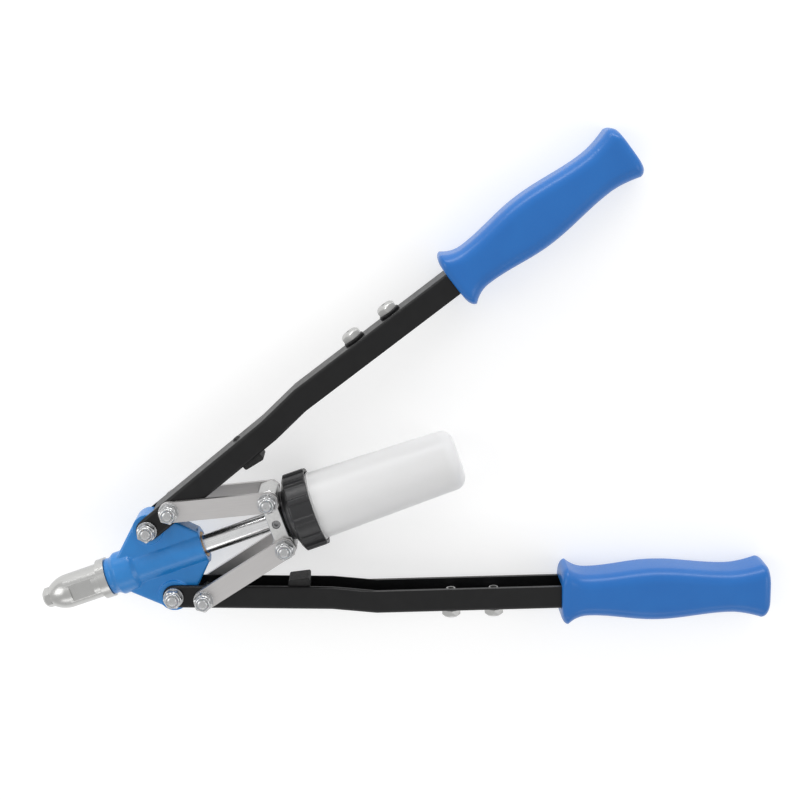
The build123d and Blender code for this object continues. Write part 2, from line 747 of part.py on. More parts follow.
channel = arm_place * make_channel()
grip = arm_place * make_grip()
bumper = arm_place * make_bumper()
bumper_rivet = arm_place * make_bumper_rivet()
sockets = make_sockets()
near_link, far_link = make_links()
link_places = [(link_pivot[0], link_pivot[1], link_outer_z, 25),
               (crosshead_x, crosshead_pin_y, link_outer_z, 7)]
link_bolts = fasteners(make_bolt, link_places)
link_washers = fasteners(make_washer, link_places)
link_nuts = fasteners(make_nut, link_places)

for side, place in (("upper", lambda shape: shape), ("lower", lower)):
    save(f"{side}_channel", place(channel))
    save(f"{side}_grip", place(grip))
    save(f"{side}_bumper", place(bumper))
    save(f"{side}_bumper_rivet", place(bumper_rivet))
    save(f"{side}_sockets", place(sockets))
    first = 0 if side == "upper" else 2
    for spare in range(2):
        save(f"{side}_spare_nosepiece_{spare + 1}", place(make_spare(spare, spare_bores[first + spare])))
    save(f"{side}_near_link", place(near_link))
    save(f"{side}_far_link", place(far_link))
    save(f"{side}_link_bolts", place(link_bolts))
    save(f"{side}_link_washers", place(link_washers))
    save(f"{side}_link_nuts", place(link_nuts))
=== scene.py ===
import json
import math

import bpy
from mathutils import Matrix, Vector


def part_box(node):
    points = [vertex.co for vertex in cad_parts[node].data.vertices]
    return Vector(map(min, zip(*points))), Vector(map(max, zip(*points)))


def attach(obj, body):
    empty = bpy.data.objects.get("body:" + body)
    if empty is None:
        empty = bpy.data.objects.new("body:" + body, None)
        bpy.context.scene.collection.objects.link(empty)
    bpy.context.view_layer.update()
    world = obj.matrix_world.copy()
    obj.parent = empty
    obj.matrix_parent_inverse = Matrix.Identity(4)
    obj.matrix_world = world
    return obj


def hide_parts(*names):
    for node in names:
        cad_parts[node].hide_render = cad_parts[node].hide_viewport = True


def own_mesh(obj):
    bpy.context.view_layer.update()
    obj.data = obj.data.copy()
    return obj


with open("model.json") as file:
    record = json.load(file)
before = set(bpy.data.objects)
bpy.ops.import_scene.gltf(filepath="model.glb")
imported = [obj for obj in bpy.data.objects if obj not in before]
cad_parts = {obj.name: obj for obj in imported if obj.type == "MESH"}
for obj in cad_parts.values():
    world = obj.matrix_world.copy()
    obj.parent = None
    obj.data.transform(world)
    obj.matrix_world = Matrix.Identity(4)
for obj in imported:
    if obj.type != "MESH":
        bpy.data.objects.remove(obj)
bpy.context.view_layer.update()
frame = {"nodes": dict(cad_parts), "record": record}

# Long-arm, two-handed blind riveter, lying on its side. Lengths are in metres: MM turns the
# millimetres of the drawing into them. +X runs back along the pull axis, +Y towards the
# upper arm and +Z up, as in the CAD frame.
MM = 0.001

NODES = frame["nodes"]

# Pivots and the arm's attitude
PIVOT = Vector((76.7, 21.9, 0)) * MM
ARM_ANGLE = math.radians(20.3)
REAR_TURN = math.radians(2.2)
JOG_END = Vector((122, 2.2, 0)) * MM
LINK_PIVOT = Vector((93.69, 28.93, 0)) * MM
CROSSHEAD_PIN = Vector((150.3, 15, 0)) * MM
LINK_ANGLE = math.atan2(CROSSHEAD_PIN.y - LINK_PIVOT.y, CROSSHEAD_PIN.x - LINK_PIVOT.x)

# Grips, measured along the rear section of the arm
GRIP_START = 111.3 * MM          # from the end of the jog
GRIP_LENGTH = 126.3 * MM
GRIP_DEPTH = 30.0 * MM
GRIP_CORNER = 7.5 * MM
GRIP_CROWN = 0.025               # bulge of the flat faces, as a share of their reach
GRIP_LIP = 34.8 * MM
GRIP_FRONT_WAIST = 25.4 * MM
GRIP_BELLY = 32.0 * MM
GRIP_REAR_WAIST = 25.6 * MM
GRIP_HEEL = 32.4 * MM
GRIP_NOSE = 4.0 * MM             # rounding in front of the lip
GRIP_TAIL = 5.0 * MM             # rounding behind the heel
GRIP_FACE = 22.0 * MM            # height of the flat end faces
GRIP_WAIST_PLACE = 17.0 * MM
GRIP_BELLY_PLACE = 58.0 * MM
GRIP_REAR_WAIST_PLACE = 103.0 * MM
GRIP_POCKET = 112.5 * MM
SOCKET_HEIGHT = 14.1 * MM
SOCKET_DEPTH = 24.1 * MM

# Fasteners
NUT_FLATS = 10.0 * MM
NUT_CORNER = 5.6 * MM            # corners as cut by the chamfer
NUT_HEIGHT = 6.2 * MM
COLLAR = 1.5 * MM
COLLAR_RADIUS = 4.5 * MM
SHOULDER_RADIUS = 3.4 * MM
THREAD_RADIUS = 3.0 * MM
THREAD_DEPTH = 0.35 * MM
THREAD_PITCH = 1.0 * MM
HEAD_HEIGHT = 4.0 * MM
WASHER = 1.2 * MM
BOLT_END = 0.9 * MM
PIVOT_TURNS = (12, 41)           # how each nut came to rest, in degrees
LINK_TURNS = (25, 7)

# Bottle
BOTTLE_WALL = 1.3 * MM
BOTTLE_FRONT_RADIUS = 20.3 * MM
BOTTLE_REAR_RADIUS = 18.4 * MM
BOTTLE_CORNER = 7.5 * MM
BOTTLE_THREAD = 0.8 * MM
BOTTLE_PITCH = 4.0 * MM
BOTTLE_THREAD_TURNS = 1.6

# Jaw spring
SPRING_WIRE = 0.53 * MM          # radius
SPRING_TURNS = 4

# Camera: place and attitude of the photograph's view
VIEW_DISTANCE = 0.9
VIEW_ROLL = math.radians(19.77)
VIEW_TILT = math.radians(11.9)
VIEW_SWING = math.radians(-3.1)
VIEW_CENTRE = Vector((215.5, 120.7, 0)) * MM
LENS = 66.73

# Studio
FLOOR_REACH = 6.0                # half the floor's side
FLOOR_GLOW = 0.5                 # keeps the floor nearly shadowless
WORLD_GLOW = 0.68
LIGHT_AIM = Vector((0.2, 0, 0))  # the middle of the tool


# Meshes --------------------------------------------------------------------------------


def mesh_piece(name, solids, smooth_angle=35):
    """A new object from one or more (points, faces) solids, smooth shaded up to an angle."""
    points = []
    faces = []
    for more_points, more_faces in solids:
        first = len(points)
        points += [tuple(point) for point in more_points]
        faces += [tuple(first + i for i in face) for face in more_faces]
    mesh = bpy.data.meshes.new(name)
    mesh.from_pydata(points, [], faces)
    mesh.update()
    mesh.shade_smooth()
    mesh.set_sharp_from_angle(angle=math.radians(smooth_angle))
    piece = bpy.data.objects.new(name, mesh)
    bpy.context.scene.collection.objects.link(piece)
    return piece


def skin(rings, hollow=False):
    """A solid over rings of points: capped at both ends, or closed into a hoop if hollow."""
    count = len(rings[0])
    points = [point for ring in rings for point in ring]
    faces = []
    for ring in range(len(rings) if hollow else len(rings) - 1):
        low = ring * count
        high = (ring + 1) % len(rings) * count
        for i in range(count):
            j = (i + 1) % count
            faces.append((low + i, low + j, high + j, high + i))
    if not hollow:
        faces.append(tuple(reversed(range(count))))
        faces.append(tuple(len(points) - count + i for i in range(count)))
    return points, faces


def circle_x(x, radius, steps=96):
    """A ring about the pull axis. radius is a length, or a function of the angle."""
    ring = []
    for step in range(steps):
        turn = 2 * math.pi * step / steps
        reach = radius(turn) if callable(radius) else radius
        ring.append((x, reach * math.cos(turn), reach * math.sin(turn)))
    return ring


def circle_z(centre, z, radius, steps=72, turn=0.0):
    """A ring about an upright axis. radius is a length, or a function of the angle."""
    ring = []
    for step in range(steps):
        angle = 2 * math.pi * step / steps
        reach = radius(angle) if callable(radius) else radius
        ring.append((centre.x + reach * math.cos(angle + turn), centre.y + reach * math.sin(angle + turn), z))
    return ring


def hexagonal(limit):
    """The radius of the nut's hexagon at an angle, cut off at a limit as its chamfer does."""
    def radius(angle):
        off = (angle % (math.pi / 3)) - math.pi / 6
        return min(limit, NUT_FLATS / 2 / math.cos(off))
    return radius


def evaluated_copy(name, piece):
    """The piece's mesh with its modifiers applied, as a new object."""
    graph = bpy.context.evaluated_depsgraph_get()
    mesh = bpy.data.meshes.new_from_object(piece.evaluated_get(graph))
    copy = bpy.data.objects.new(name, mesh)
    bpy.context.scene.collection.objects.link(copy)
    return copy


def softened(name, node, voxel, rounds):
    """A copy of a CAD node with its corners rounded as moulding or casting leaves them."""
    draft = bpy.data.objects.new("draft", NODES[node].data.copy())
    bpy.context.scene.collection.objects.link(draft)
    weld = draft.modifiers.new("weld", "WELD")
    weld.merge_threshold = 1e-6
    remesh = draft.modifiers.new("remesh", "REMESH")
    remesh.mode = "VOXEL"
    remesh.voxel_size = voxel
    smooth = draft.modifiers.new("smooth", "SMOOTH")
    smooth.factor = 0.5
    smooth.iterations = rounds
    copy = evaluated_copy(name, draft)
    bpy.data.objects.remove(draft)
    copy.data.shade_smooth()
    return copy


def bevelled(node, width, segments=2, angle=40):
    """Rounds the long edges of a CAD node that keeps its shape."""
    piece = NODES[node]
    weld = piece.modifiers.new("weld", "WELD")
    weld.merge_threshold = 1e-6
    bevel = piece.modifiers.new("bevel", "BEVEL")
    bevel.width = width
    bevel.segments = segments
    bevel.limit_method = "ANGLE"
    bevel.angle_limit = math.radians(angle)
    even = piece.modifiers.new("even", "WEIGHTED_NORMAL")
    even.weight = 100
    return piece


# Materials -----------------------------------------------------------------------------


class Finish:
    """A procedural material in the making: a shader and short calls that feed it."""

    def __init__(self, name, color, roughness, metallic=0.0, **sockets):
        self.material = bpy.data.materials.new(name)
        self.material.use_nodes = True
        self.tree = self.material.node_tree
        self.shader = self.tree.nodes["Principled BSDF"]
        self.color = color
        self.shader.inputs["Base Color"].default_value = (*color, 1)
        self.shader.inputs["Metallic"].default_value = metallic
        self.shader.inputs["Roughness"].default_value = roughness
        for socket, value in sockets.items():
            self.shader.inputs[socket.replace("_", " ")].default_value = value
        self.place = self.node("ShaderNodeTexCoord").outputs["Object"]
        self.bumps = None

    def node(self, kind, **values):
        made = self.tree.nodes.new(kind)
        for key, value in values.items():
            setattr(made, key, value)
        return made

    def join(self, source, target):
        self.tree.links.new(source, target)

    def mapping(self, scale=(1, 1, 1), turn=0.0):
        """The place on the piece, turned about Z and then stretched."""
        spin = self.node("ShaderNodeVectorRotate", rotation_type="Z_AXIS")
        spin.inputs["Angle"].default_value = turn
        self.join(self.place, spin.inputs["Vector"])
        stretch = self.node("ShaderNodeVectorMath", operation="MULTIPLY")
        stretch.inputs[1].default_value = scale
        self.join(spin.outputs["Vector"], stretch.inputs[0])
        return stretch.outputs["Vector"]

    def noise(self, scale, detail=3.0, vector=None, roughness=0.5):
        """Noise with a grain of about 1/scale metres."""
        grain = self.node("ShaderNodeTexNoise")
        grain.inputs["Scale"].default_value = scale
        grain.inputs["Detail"].default_value = detail
        grain.inputs["Roughness"].default_value = roughness
        self.join(vector or self.place, grain.inputs["Vector"])
        return grain.outputs["Fac"]

    def pits(self, scale):
        """Small cells, for grained plastic and cast skin."""
        cells = self.node("ShaderNodeTexVoronoi")
        cells.inputs["Scale"].default_value = scale
        self.join(self.place, cells.inputs["Vector"])
        return cells.outputs["Distance"]

    def spread(self, value, low, high, start=0.3, end=0.7):
        """Maps start..end of a value to low..high."""
        ramp = self.node("ShaderNodeMapRange")
        ramp.inputs["From Min"].default_value = start
        ramp.inputs["From Max"].default_value = end
        ramp.inputs["To Min"].default_value = low
        ramp.inputs["To Max"].default_value = high
        self.join(value, ramp.inputs["Value"])
        return ramp.outputs["Result"]

    def vary_color(self, value, other):
        """Blends the base colour towards another where the value is high."""
        blend = self.node("ShaderNodeMix", data_type="RGBA")
        blend.inputs["A"].default_value = (*self.color, 1)
        blend.inputs["B"].default_value = (*other, 1)
        self.join(value, blend.inputs["Factor"])
        self.join(blend.outputs["Result"], self.shader.inputs["Base Color"])

    def vary_roughness(self, value):
        self.join(value, self.shader.inputs["Roughness"])

    def bump(self, value, depth, strength=1.0):
        """Raises the surface by up to depth metres where the value is high."""
        relief = self.node("ShaderNodeBump")
        relief.inputs["Strength"].default_value = strength
        relief.inputs["Distance"].default_value = depth
        self.join(value, relief.inputs["Height"])
        if self.bumps:
            self.join(self.bumps, relief.inputs["Normal"])
        self.bumps = relief.outputs["Normal"]
        self.join(self.bumps, self.shader.inputs["Normal"])


def housing_paint():
    """Enamel on a casting: glossy, with orange peel over the casting's own waves."""
    f = Finish("housing_paint", (0.010, 0.185, 0.520), 0.34, Coat_Weight=0.25, Coat_Roughness=0.16)
    f.vary_color(f.spread(f.noise(160, 4), 0, 0.8), (0.013, 0.205, 0.560))
    f.vary_roughness(f.spread(f.noise(420, 4), 0.28, 0.40))
    f.bump(f.noise(190, 2), 0.00025, 0.5)
    f.bump(f.noise(1500, 2), 0.00006, 0.6)
    return f.material


def grip_plastic():
    """Moulded grip plastic: semi-gloss with a fine leathery grain."""
    f = Finish("grip_plastic", (0.010, 0.130, 0.440), 0.32, Specular_IOR_Level=0.45)
    f.vary_color(f.spread(f.noise(55, 3), 0, 0.7), (0.012, 0.145, 0.470))
    f.vary_roughness(f.spread(f.noise(900, 5), 0.28, 0.37))
    f.bump(f.pits(1900), 0.00002, 0.5)
    f.bump(f.noise(60, 2), 0.0002, 0.2)
    return f.material


def black_coat():
    """Satin black coating on pressed steel."""
    f = Finish("black_coat", (0.004, 0.004, 0.0043), 0.38, Specular_IOR_Level=0.32)
    f.vary_color(f.spread(f.noise(120, 3), 0, 0.6), (0.007, 0.007, 0.0075))
    f.vary_roughness(f.spread(f.noise(240, 5), 0.34, 0.42))
    f.bump(f.noise(2200, 3), 0.000003, 0.5)
    f.bump(f.noise(90, 2), 0.0002, 0.2)
    return f.material


def link_steel(name, turn):
    """Flat steel ground along the link."""
    f = Finish(name, (0.60, 0.585, 0.58), 0.40, metallic=1.0)
    grind = f.mapping((60, 3200, 900), turn)
    lines = f.noise(1, 4, grind, 0.6)
    f.vary_color(f.spread(lines, 0, 0.55), (0.68, 0.665, 0.66))
    f.vary_roughness(f.spread(f.noise(1, 3, f.mapping((90, 1500, 500), turn)), 0.36, 0.46))
    f.bump(lines, 0.000006, 0.5)
    return f.material


def turned_steel(name, color, roughness):
    """Steel or nickel turned on a lathe: fine rings round the pull axis."""
    f = Finish(name, color, roughness, metallic=1.0)
    rings = f.noise(1, 3, f.mapping((4200, 60, 60)), 0.6)
    f.vary_color(f.spread(f.noise(300, 4), 0, 0.5), tuple(0.9 * c for c in color))
    f.vary_roughness(f.spread(rings, roughness - 0.03, roughness + 0.03))
    f.bump(rings, 0.0000015, 0.4)
    return f.material


def plated_steel(name, color, roughness, mottle=0.25):
    """Zinc or satin plating: a cloudy spangle and small scratches."""
    f = Finish(name, color, roughness, metallic=1.0)
    f.vary_color(f.spread(f.noise(650, 5), 0, mottle * 2), tuple(0.75 * c for c in color))
    f.vary_roughness(f.spread(f.noise(1500, 4), roughness - 0.05, roughness + 0.08))
    f.bump(f.noise(2600, 3), 0.000006, 0.5)
    return f.material


def tube_chrome():
    """Bright chrome with faint scratches from sliding."""
    f = Finish("tube_chrome", (0.86, 0.865, 0.87), 0.24, metallic=1.0)
    scratches = f.noise(1, 3, f.mapping((30, 2600, 2600)))
    f.vary_color(f.spread(f.noise(200, 3), 0, 0.4), (0.76, 0.765, 0.77))
    f.vary_roughness(f.spread(scratches, 0.20, 0.30))
    f.bump(scratches, 0.000003, 0.4)
    return f.material


def dark_steel():
    """Oiled, hardened steel."""
    f = Finish("dark_steel", (0.12, 0.115, 0.11), 0.36, metallic=1.0)
    f.vary_color(f.spread(f.noise(500, 4), 0, 0.8), (0.07, 0.066, 0.064))
    f.vary_roughness(f.spread(f.noise(900, 4), 0.28, 0.48))
    f.bump(f.noise(3000, 3), 0.00002, 0.5)
    return f.material


def bush_bronze():
    """Sintered bronze, open grained."""
    f = Finish("bush_bronze", (0.50, 0.31, 0.13), 0.42, metallic=1.0)
    f.vary_color(f.spread(f.noise(2400, 3), 0, 0.8), (0.30, 0.17, 0.07))
    f.vary_roughness(f.spread(f.noise(1200, 4), 0.34, 0.55))
    f.bump(f.pits(3200), 0.00003, 0.5)
    return f.material


def cap_plastic():
    """Black moulded plastic with a spark-eroded texture."""
    f = Finish("cap_plastic", (0.012, 0.012, 0.013), 0.34, Specular_IOR_Level=0.5)
    f.vary_color(f.spread(f.noise(120, 3), 0, 0.7), (0.020, 0.020, 0.022))
    f.vary_roughness(f.spread(f.noise(700, 4), 0.28, 0.42))
    f.bump(f.noise(3000, 3), 0.00002, 0.5)
    return f.material


def bottle_plastic():
    """Milky blown polyethylene, with soft flow waves."""
    f = Finish("bottle_plastic", (0.97, 0.97, 0.97), 0.40, Subsurface_Weight=0.6,
               Subsurface_Scale=0.006, Transmission_Weight=0.12, IOR=1.45)
    f.shader.inputs["Subsurface Radius"].default_value = (1.0, 1.0, 1.0)
    f.vary_color(f.spread(f.noise(1, 3, f.mapping((14, 60, 60))), 0, 0.6), (0.94, 0.94, 0.945))
    f.vary_roughness(f.spread(f.noise(260, 4), 0.28, 0.42))
    f.bump(f.noise(1, 2, f.mapping((25, 90, 90))), 0.0004, 0.3)
    return f.material


def black_rubber():
    """Matt black rubber."""
    f = Finish("black_rubber", (0.010, 0.010, 0.010), 0.62, Specular_IOR_Level=0.4)
    f.vary_color(f.spread(f.noise(400, 4), 0, 0.8), (0.018, 0.018, 0.018))
    f.vary_roughness(f.spread(f.noise(900, 4), 0.54, 0.74))
    f.bump(f.noise(2400, 3), 0.00006, 0.6)
    return f.material


def nylon_ring():
    """Insert of a lock nut."""
    f = Finish("nylon_ring", (0.55, 0.57, 0.60), 0.5, Subsurface_Weight=0.2, Subsurface_Scale=0.001)
    f.vary_color(f.spread(f.noise(1500, 3), 0, 0.5), (0.48, 0.50, 0.53))
    f.vary_roughness(f.spread(f.noise(2000, 3), 0.42, 0.58))
    return f.material


FINISHES = {
    "blue_paint": housing_paint(),
    "blue_grip": grip_plastic(),
    "black_steel": black_coat(),
    "nose_steel": turned_steel("nose_nickel", (0.55, 0.55, 0.54), 0.30),
    "crosshead_steel": plated_steel("crosshead_plating", (0.80, 0.80, 0.79), 0.34),
    "tube_chrome": tube_chrome(),
    "fastener_zinc": plated_steel("fastener_zinc", (0.58, 0.585, 0.59), 0.30),
    "dark_steel": dark_steel(),
    "bush_bronze": bush_bronze(),
    "cap_plastic": cap_plastic(),
    "bottle_plastic": bottle_plastic(),
    "black_rubber": black_rubber(),
}
GRUB_STEEL = plated_steel("grub_steel", (0.34, 0.34, 0.345), 0.3)
LINK_FINISHES = {
    "upper": link_steel("link_steel_upper", -LINK_ANGLE),
    "lower": link_steel("link_steel_lower", LINK_ANGLE),
}
NYLON = nylon_ring()


def finish_for(node, slot_name):
    """The material for a node or a piece of a slot."""
    if slot_name == "link_steel":
        return LINK_FINISHES["upper" if node.startswith("upper") else "lower"]
    return FINISHES[slot_name]


SLOTS = {entry["node"]: entry["material_slot"] for entry in frame["record"]["subparts"]}


def dress_nodes():
    """Gives every CAD node its procedural material."""
    for node, piece in NODES.items():
        piece.data.materials.clear()
        piece.data.materials.append(finish_for(node, SLOTS[node]))
    NODES["grub_screw"].data.materials[0] = GRUB_STEEL


def stand_in(piece, body, *nodes):
    """Makes a piece stand for CAD nodes on a body, with the material of the first node's slot."""
    if not piece.data.materials:
        piece.data.materials.append(finish_for(nodes[0], SLOTS[nodes[0]]))
    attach(piece, body)
    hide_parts(*nodes)
    return piece


dress_nodes()


# Grips ---------------------------------------------------------------------------------


def eased(share):
    """0 to 1, level at both ends."""
    return (1 - math.cos(math.pi * share)) / 2


def grip_height(along):
    """Height of the grip: rounded ends, flares that sweep out to the lips, and a belly."""
    lip_place = GRIP_NOSE
    heel_place = GRIP_LENGTH - GRIP_TAIL
    if along < lip_place:
        share = 1 - along / GRIP_NOSE
        return GRIP_FACE + (GRIP_LIP - GRIP_FACE) * math.sqrt(1 - share ** 2)
    if along < GRIP_WAIST_PLACE:
        share = (along - lip_place) / (GRIP_WAIST_PLACE - lip_place)
        return GRIP_FRONT_WAIST + (GRIP_LIP - GRIP_FRONT_WAIST) * (1 - share) ** 2.3
    if along < GRIP_BELLY_PLACE:
        share = (along - GRIP_WAIST_PLACE) / (GRIP_BELLY_PLACE - GRIP_WAIST_PLACE)
        return GRIP_FRONT_WAIST + (GRIP_BELLY - GRIP_FRONT_WAIST) * eased(share)
    if along < GRIP_REAR_WAIST_PLACE:
        share = (along - GRIP_BELLY_PLACE) / (GRIP_REAR_WAIST_PLACE - GRIP_BELLY_PLACE)
        return GRIP_BELLY + (GRIP_REAR_WAIST - GRIP_BELLY) * eased(share)
    if along < heel_place:
        share = (along - GRIP_REAR_WAIST_PLACE) / (heel_place - GRIP_REAR_WAIST_PLACE)
        return GRIP_REAR_WAIST + (GRIP_HEEL - GRIP_REAR_WAIST) * share ** 1.7
    share = (along - heel_place) / GRIP_TAIL
    return GRIP_FACE + (GRIP_HEEL - GRIP_FACE) * math.sqrt(max(0.0, 1 - share ** 2))


def grip_depth(along, height):
    """Depth of the grip: a little with its height, and rounded with it at both ends."""
    flare = (height - GRIP_FRONT_WAIST) * 0.2
    if along < GRIP_NOSE:
        return GRIP_DEPTH + (GRIP_LIP - GRIP_FRONT_WAIST) * 0.2 - (GRIP_LIP - height) * 0.4
    if along > GRIP_LENGTH - GRIP_TAIL:
        return GRIP_DEPTH + (GRIP_HEEL - GRIP_FRONT_WAIST) * 0.2 - (GRIP_HEEL - height) * 0.8
    return GRIP_DEPTH + flare


def rounded_ring(along, height, depth, corner, crown=0.0, steps=10, flats=4):
    """A rounded rectangle across the grip, with faces that bulge by the crown."""
    outline = []
    for quarter, (side_y, side_z) in enumerate(((1, 1), (-1, 1), (-1, -1), (1, -1))):
        for step in range(steps + 1):
            angle = math.pi / 2 * (quarter + step / steps)
            outline.append((side_y * (height / 2 - corner) + corner * math.cos(angle),
                            side_z * (depth / 2 - corner) + corner * math.sin(angle)))
    ring = []
    for i, (y, z) in enumerate(outline):
        next_y, next_z = outline[(i + 1) % len(outline)]
        parts = flats if i % (steps + 1) == steps else 1
        for part in range(parts):
            flat_y = y + (next_y - y) * part / parts
            flat_z = z + (next_z - z) * part / parts
            swell_y = 1 + crown * (1 - (2 * flat_z / depth) ** 2)
            swell_z = 1 + crown * (1 - (2 * flat_y / height) ** 2)
            ring.append(Vector((along, flat_y * swell_y, flat_z * swell_z)))
    return ring


def grip_stations():
    """Places of the rings: close together at the rounded ends, wider along the belly."""
    nose = [GRIP_NOSE * (1 - math.cos(math.pi / 2 * i / 8)) for i in range(8)]
    middle_length = GRIP_LENGTH - GRIP_NOSE - GRIP_TAIL
    middle = [GRIP_NOSE + middle_length * i / 60 for i in range(60)]
    tail = [GRIP_LENGTH - GRIP_TAIL + GRIP_TAIL * math.sin(math.pi / 2 * i / 9) for i in range(10)]
    return nose + middle + tail


def make_grip(side, mirror):
    """A moulded grip, socketed for the end of its channel."""
    place = (Matrix.Scale(mirror, 4, (0, 1, 0)) @ Matrix.Translation(PIVOT)
             @ Matrix.Rotation(ARM_ANGLE, 4, "Z") @ Matrix.Translation(JOG_END)
             @ Matrix.Rotation(-REAR_TURN, 4, "Z") @ Matrix.Translation((GRIP_START, 0, 0)))
    socket_corner = 0.6 * MM
    rings = [rounded_ring(x, SOCKET_HEIGHT, SOCKET_DEPTH, socket_corner) for x in (GRIP_POCKET, 0.5 * MM)]
    rings.append(rounded_ring(0, SOCKET_HEIGHT + 0.8 * MM, SOCKET_DEPTH + 0.8 * MM, socket_corner + 0.4 * MM))
    for along in grip_stations():
        height = grip_height(along)
        rings.append(rounded_ring(along, height, grip_depth(along, height), GRIP_CORNER, GRIP_CROWN))
    rings = [[place @ point for point in ring] for ring in rings]
    if mirror < 0:
        rings = [list(reversed(ring)) for ring in rings]
    grip = mesh_piece(f"{side}_moulded_grip", [skin(rings)])
    stand_in(grip, f"{side}_arm", f"{side}_grip")


# Fasteners -----------------------------------------------------------------------------


def lock_nut(centre, seat, turn):
    """A chamfered hexagon with a rolled collar over its nylon ring."""
    hex_top = NUT_HEIGHT - COLLAR
    chamfer = 0.45 * MM
    bore = THREAD_RADIUS + 0.05 * MM
    profile = (
        (0.0, bore),
        (0.0, hexagonal(NUT_CORNER - 2 * chamfer)),
        (chamfer, hexagonal(NUT_CORNER)),
        (hex_top - chamfer, hexagonal(NUT_CORNER)),
        (hex_top, hexagonal(NUT_CORNER - 2 * chamfer)),
        (hex_top, COLLAR_RADIUS),
        (NUT_HEIGHT - 0.8 * MM, COLLAR_RADIUS),
        (NUT_HEIGHT - 0.45 * MM, COLLAR_RADIUS - 0.1 * MM),
        (NUT_HEIGHT - 0.15 * MM, COLLAR_RADIUS - 0.4 * MM),
        (NUT_HEIGHT, COLLAR_RADIUS - 0.8 * MM),
        (NUT_HEIGHT - 0.25 * MM, COLLAR_RADIUS - 1.1 * MM),
        (NUT_HEIGHT - 0.25 * MM, bore),
    )
    return skin([circle_z(centre, seat + z, radius, turn=turn) for z, radius in profile], hollow=True)


def threaded(z):
    """The bolt's radius round its thread at a height: a ridge that climbs a pitch each turn."""
    def radius(angle):
        phase = (z / THREAD_PITCH - angle / (2 * math.pi)) % 1
        return THREAD_RADIUS - THREAD_DEPTH * (1 - abs(2 * phase - 1))
    return radius


def shoulder_bolt(centre, top, turn):
    """A hexagon-headed shoulder bolt, head down, with a threaded, domed end."""
    head_low = -top - HEAD_HEIGHT
    end = top + WASHER + NUT_HEIGHT + BOLT_END
    rings = [circle_z(centre, head_low, hexagonal(NUT_CORNER - 1.0 * MM), turn=turn)]
    rings.append(circle_z(centre, head_low + 0.5 * MM, hexagonal(NUT_CORNER), turn=turn))
    rings.append(circle_z(centre, -top, hexagonal(NUT_CORNER), turn=turn))
    rings.append(circle_z(centre, -top, SHOULDER_RADIUS, turn=turn))
    rings.append(circle_z(centre, top, SHOULDER_RADIUS, turn=turn))
    steps = 60
    thread_end = end - 0.5 * MM
    for step in range(steps + 1):
        z = top + (thread_end - top) * step / steps
        rings.append(circle_z(centre, z, threaded(z), turn=turn))
    rings.append(circle_z(centre, end - 0.2 * MM, THREAD_RADIUS - 0.5 * MM, turn=turn))
    rings.append(circle_z(centre, end, THREAD_RADIUS - 1.2 * MM, turn=turn))
    return skin(rings)


def make_fasteners(name, body, places, turns, nut_node, bolt_node, washer_node):
    """The lock nuts and bolts of one group, seated on its washers."""
    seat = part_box(washer_node)[1].z
    turns = [math.radians(turn) for turn in turns]
    nuts = [lock_nut(place, seat, turn) for place, turn in zip(places, turns)]
    nut_piece = mesh_piece(f"{name}_lock_nuts", nuts, 30)
    stand_in(nut_piece, body, nut_node)
    nut_piece.data.materials.append(NYLON)
    for face in nut_piece.data.polygons:
        near = min((Vector(face.center[:2]) - place.xy).length for place in places)
        if near < COLLAR_RADIUS - 1.1 * MM and face.center.z > seat + NUT_HEIGHT - 0.6 * MM:
            face.material_index = 1
    bolts = [shoulder_bolt(place, seat - WASHER, turn) for place, turn in zip(places, turns)]
    stand_in(mesh_piece(f"{name}_shoulder_bolts", bolts, 30), body, bolt_node)


def mirrored(point, mirror):
    return Vector((point.x, mirror * point.y, point.z))


# Bottle --------------------------------------------------------------------------------


def make_bottle():
    """A blown bottle with a thread at its mouth, an even wall and a rounded end."""
    low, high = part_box("bottle")
    mouth = low.x
    thread_start = mouth + 1.0 * MM
    thread_length = BOTTLE_PITCH * (BOTTLE_THREAD_TURNS + 0.5)
    body_end = high.x - BOTTLE_CORNER

    def thread(x):
        """The neck's radius round its thread: one ridge that fades in and out."""
        def radius(turn):
            along = (x - thread_start) / BOTTLE_PITCH - turn / (2 * math.pi)
            lap = along - round(along)
            fade = min(max(min(x - thread_start, thread_start + thread_length - x) / MM, 0), 1)
            ridge = max(0.0, 1 - (abs(lap) / 0.28) ** 2) ** 0.6
            return BOTTLE_FRONT_RADIUS + BOTTLE_THREAD * ridge * fade
        return radius

    inner = [(high.x - BOTTLE_WALL, 0.5 * MM)]
    outer = [(mouth, BOTTLE_FRONT_RADIUS - 0.4 * MM)]
    for step in range(9):
        turn = math.pi / 2 * step / 8
        inner.append((body_end + (BOTTLE_CORNER - BOTTLE_WALL) * math.cos(turn),
                      BOTTLE_REAR_RADIUS - BOTTLE_CORNER + (BOTTLE_CORNER - BOTTLE_WALL) * math.sin(turn)))
    inner.append((mouth, BOTTLE_FRONT_RADIUS - BOTTLE_WALL))
    for step in range(34):
        x = thread_start - 0.6 * MM + (thread_length + 1.2 * MM) * step / 33
        outer.append((x, thread(x)))
    for step in range(12):
        share = (step + 1) / 13
        outer.append((outer[34][0] + (body_end - outer[34][0]) * share,
                      BOTTLE_FRONT_RADIUS + (BOTTLE_REAR_RADIUS - BOTTLE_FRONT_RADIUS) * share))
    for step in range(11):
        turn = math.pi / 2 * (1 - step / 10)
        outer.append((body_end + BOTTLE_CORNER * math.cos(turn),
                      BOTTLE_REAR_RADIUS - BOTTLE_CORNER + BOTTLE_CORNER * math.sin(turn)))
    outer.append((high.x, 0.5 * MM))
    rings = [circle_x(x, radius) for x, radius in inner + outer]
    stand_in(mesh_piece("blown_bottle", [skin(rings)]), "bottle", "bottle")


